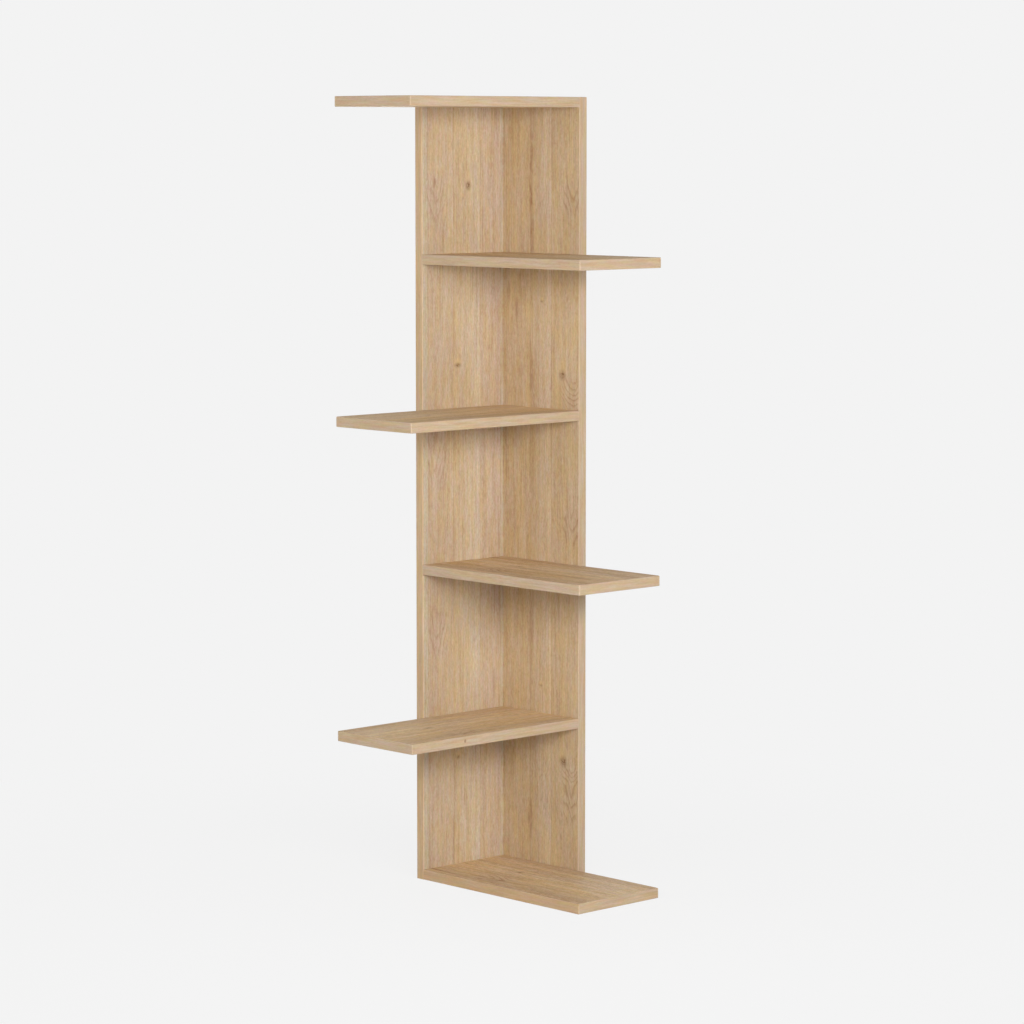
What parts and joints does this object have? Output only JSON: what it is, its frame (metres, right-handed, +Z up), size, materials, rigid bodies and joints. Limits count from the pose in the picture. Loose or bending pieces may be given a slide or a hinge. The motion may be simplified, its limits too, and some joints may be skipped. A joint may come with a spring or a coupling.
{
  "type": "corner bookshelf",
  "caption": "Tall narrow corner bookshelf: two oak-faced uprights in an L carry shelves that overhang left and right in turn.",
  "frame": {"origin": "on the floor, under the middle of the whole outline (413 x 413 mm)", "axes": "+Z up; +X along the right upright, from the inner corner to its front edge; -Y along the left upright, from the inner corner to its front edge"},
  "size_m": [0.413, 0.413, 1.388],
  "materials": {
    "oak_board": "18 mm chipboard faced with matt light natural oak",
    "oak_edge_band": "2 mm edge band in matt light natural oak, rounded arrises",
    "zinc_plated_steel": "bright zinc-plated screw steel",
    "beech_dowel": "plain beech dowel"
  },
  "bodies": {
    "root": {"left_upright_board": "oak_board", "right_upright_board": "oak_board", "shelf_1_board": "oak_board", "shelf_2_board": "oak_board", "shelf_3_board": "oak_board", "shelf_4_board": "oak_board", "shelf_5_board": "oak_board", "shelf_6_board": "oak_board", "left_upright_front_band": "oak_edge_band", "left_upright_back_band": "oak_edge_band", "left_upright_top_band": "oak_edge_band", "right_upright_front_band": "oak_edge_band", "right_upright_top_band": "oak_edge_band", "shelf_1_front_band": "oak_edge_band", "shelf_1_back_band": "oak_edge_band", "shelf_1_end_band": "oak_edge_band", "shelf_2_front_band": "oak_edge_band", "shelf_2_back_band": "oak_edge_band", "shelf_2_end_band": "oak_edge_band", "shelf_3_front_band": "oak_edge_band", "shelf_3_back_band": "oak_edge_band", "shelf_3_end_band": "oak_edge_band", "shelf_4_front_band": "oak_edge_band", "shelf_4_back_band": "oak_edge_band", "shelf_4_end_band": "oak_edge_band", "shelf_5_front_band": "oak_edge_band", "shelf_5_back_band": "oak_edge_band", "shelf_5_end_band": "oak_edge_band", "shelf_6_front_band": "oak_edge_band", "shelf_6_back_band": "oak_edge_band", "shelf_6_end_band": "oak_edge_band", "left_upright_screws": "zinc_plated_steel", "right_upright_screws": "zinc_plated_steel", "corner_screws": "zinc_plated_steel", "left_upright_dowels": "beech_dowel", "right_upright_dowels": "beech_dowel", "corner_lower_dowels": "beech_dowel", "corner_upper_dowels": "beech_dowel"}
  },
  "joints": []
}
